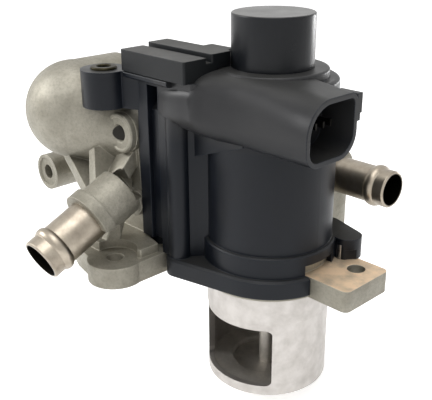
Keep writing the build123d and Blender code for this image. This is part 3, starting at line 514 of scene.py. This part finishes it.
def bezier(start, first, second, end, steps):
    """Points on a cubic Bezier curve, without its end."""
    points = []
    for i in range(steps):
        t = i / steps
        weights = ((1 - t)**3, 3 * t * (1 - t)**2, 3 * t**2 * (1 - t), t**3)
        points.append(tuple(sum(w * p[a] for w, p in zip(weights, (start, first, second, end)))
                            for a in (0, 1)))
    return points


def inner_side(outline):
    """The way back along an outline, one wall inside it."""
    points = []
    for i, (y, z) in enumerate(outline):
        before, after = outline[max(i - 1, 0)], outline[min(i + 1, len(outline) - 1)]
        run = Vector((after[0] - before[0], after[1] - before[1])).normalized()
        points.append((y + run.y * SADDLE_WALL, z - run.x * SADDLE_WALL))
    return points[::-1]


def saddle_ring(x):
    """The saddle's section at x: skirt, shoulder, crest and rear corner, and the way back."""
    front, top, edge_y, edge_z, upright_z, square = section_at(x)
    upright = (front, upright_z)
    crest = (CAP_FOOT_Y, top)
    outline = bezier((edge_y, edge_z), (front, edge_z + SKIRT_HANDLE),
                     (front, upright_z - SKIRT_HANDLE), upright, SHORT_STEPS)
    outline += bezier(upright, (front, upright_z + square * (top - upright_z)),
                      (CAP_FOOT_Y + square * (front - CAP_FOOT_Y), top), crest, ARC_STEPS)
    outline.append(crest)
    handle = SADDLE_REAR_R * CIRCLE_HANDLE
    corner_y, corner_z = SADDLE_REAR_Y - SADDLE_REAR_R, top - SADDLE_REAR_R
    rear_end = (SADDLE_REAR_Y, corner_z)
    outline += bezier((corner_y, top), (corner_y + handle, top),
                      (SADDLE_REAR_Y, corner_z + handle), rear_end, SHORT_STEPS)
    outline.append(rear_end)
    return [(x, y, z) for y, z in outline + inner_side(outline)]


def add_tunnel_saddle():
    """The skin that runs from the foot of the cap down into the connector tunnel."""
    places = []
    for start, end in zip(SADDLE_SECTIONS, SADDLE_SECTIONS[1:]):
        steps = max(1, round((end[0] - start[0]) / SADDLE_STEP))
        places += [start[0] + (end[0] - start[0]) * i / steps for i in range(steps)]
    places.append(SADDLE_SECTIONS[-1][0])
    mesh = loft("tunnel_saddle", [saddle_ring(x) for x in places])
    new_piece("tunnel_saddle", mesh, "black_plastic", CURVED_SHARP_ANGLE)


def add_column_web():
    """The web that joins the screw column to the barrel behind it."""
    rings = [[(x, y, z) for x, y in WEB_OUTLINE] for z in WEB_Z]
    new_piece("column_web", loft("column_web", rings), "black_plastic")


def add_groove_floor():
    """The floor of the wing's groove, which runs out into its depth near the top."""
    rings = [[(x, y, z) for y, z in GROOVE_SECTION] for x in GROOVE_X]
    new_piece("groove_floor", loft("groove_floor", rings), "black_plastic")


def add_eyelet_face():
    """The upper bolt eyelet's turned face, which stands clear of the hood beside it."""
    turns = [2 * math.pi * i / EYELET_SIDES for i in range(EYELET_SIDES)]
    rings = [[(EYELET[0] + radius * math.cos(turn), y, EYELET[2] + radius * math.sin(turn))
              for turn in turns] for radius, y in EYELET_PROFILE]
    new_piece("eyelet_face", loft("eyelet_face", rings), "cast_aluminium")


def add_clip_lip():
    """The thin lip of the housing that the harness clip stands on."""
    rings = [[(x, y, z) for y, z in LIP_SECTION] for x in LIP_X]
    new_piece("clip_lip", loft("clip_lip", rings), "black_plastic")


# ---------------------------------------------------------------- studio
WHITE = (1.0, 1.0, 1.0)
AMBIENT = 0.42          # the world's strength on the object
BACKDROP_WHITE = 1.0    # the world's strength where it is seen
FLOOR_HALF = 3.0
FLOOR_GAP = 0.0005      # the floor lies this far below the disc of the fully open valve
FLOOR_COLOUR = (0.92, 0.92, 0.92)
FLOOR_ROUGHNESS = 0.9
FLOOR_GLOW = 0.62       # what the lit floor lacks to be white where it is seen
TOWARD_CAMERA = -CAMERA_FORWARD
# each softbox: its direction from the object, its distance and side in metres, and its watts
SOFTBOXES = {
    "key": (-CAMERA_RIGHT + CAMERA_UP * 0.5 + TOWARD_CAMERA * 0.1, 0.9, 0.35, 4.5),
    "top": (Vector((0.15, -0.1, 1.0)), 0.9, 0.6, 3.9),
    "front": (CAMERA_UP * 0.5 + TOWARD_CAMERA, 1.1, 0.5, 1.1),
    "rim": (CAMERA_RIGHT + CAMERA_UP * 0.2 - TOWARD_CAMERA * 0.9, 1.0, 0.3, 4.0),
}


def add_world():
    world = bpy.data.worlds.new("studio")
    bpy.context.scene.world = world
    world.use_nodes = True
    tree = Nodes(world.node_tree)
    strength = tree.remap(tree.seen_directly(), 0.0, 1.0, AMBIENT, BACKDROP_WHITE)
    background = world.node_tree.nodes["Background"]
    tree.put(WHITE, background.inputs["Color"])
    tree.put(strength, background.inputs["Strength"])


def add_floor():
    level = cad_box[0][2] - VALVE_LIFT - FLOOR_GAP
    corners = [(x * FLOOR_HALF, y * FLOOR_HALF, level)
               for x, y in ((-1, -1), (1, -1), (1, 1), (-1, 1))]
    mesh = bpy.data.meshes.new("floor")
    mesh.from_pydata(corners, [], [(0, 1, 2, 3)])
    floor = bpy.data.objects.new("floor", mesh)
    bpy.context.scene.collection.objects.link(floor)
    material = bpy.data.materials.new("floor")
    material.use_nodes = True
    tree = Nodes(material.node_tree)
    glow = tree.math("MULTIPLY", tree.seen_directly(), FLOOR_GLOW)
    shader = material.node_tree.nodes["Principled BSDF"]
    for socket, value in {"Base Color": FLOOR_COLOUR, "Roughness": FLOOR_ROUGHNESS,
                          "Emission Color": WHITE, "Emission Strength": glow}.items():
        tree.put(value, shader.inputs[socket])
    mesh.materials.append(material)


def add_softbox(name, direction, distance, side, power):
    """A square area light that faces the middle of the object from the given direction."""
    data = bpy.data.lights.new(name, "AREA")
    data.shape = "SQUARE"
    data.size = side
    data.energy = power
    light = bpy.data.objects.new(name, data)
    middle = (Vector(cad_box[0]) + Vector(cad_box[1])) / 2
    away = direction.normalized()
    light.location = middle + away * distance
    light.rotation_euler = away.to_track_quat("Z", "Y").to_euler()
    bpy.context.scene.collection.objects.link(light)


add_camera()
dress_cad_nodes()
add_working_spring()
add_tunnel_saddle()
add_column_web()
add_groove_floor()
add_eyelet_face()
add_clip_lip()
add_world()
add_floor()
for name, setting in SOFTBOXES.items():
    add_softbox(name, *setting)
bpy.context.scene.view_settings.view_transform = "Standard"
